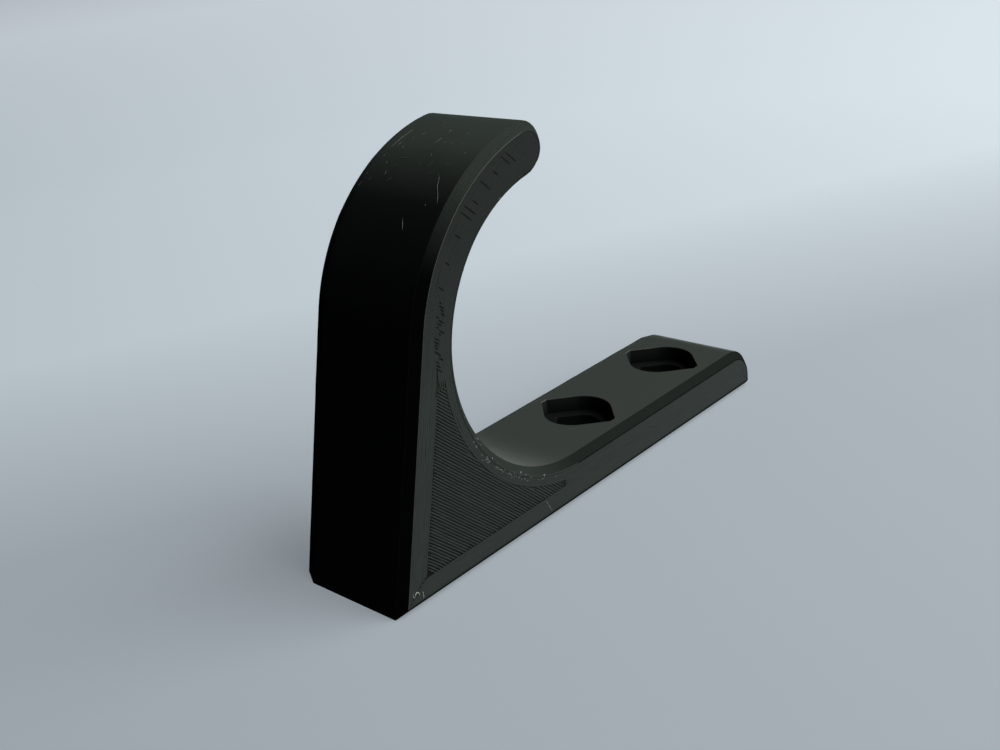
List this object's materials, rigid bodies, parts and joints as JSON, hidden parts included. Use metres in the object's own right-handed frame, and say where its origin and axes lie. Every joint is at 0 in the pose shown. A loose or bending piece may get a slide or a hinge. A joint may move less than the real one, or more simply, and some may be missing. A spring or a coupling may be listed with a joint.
{
  "type": "wall hook",
  "caption": "One-piece printed wall hook: a flat bevelled plate with pointed screw pockets runs into a solid corner and a leaning arm that curls over a round throat.",
  "frame": {"origin": "on the wall face, midway between the two screw holes", "axes": "+Z out of the wall face, +X along the plate towards its free end, +Y across the hook towards its steeper bevel"},
  "size_m": [0.0859, 0.02, 0.0586],
  "materials": {
    "printed_plastic": "black printed plastic with a low sheen, fine layer lines across the curved faces and printed lines on the side faces"
  },
  "bodies": {
    "root": {"hook": "printed_plastic"}
  },
  "joints": []
}
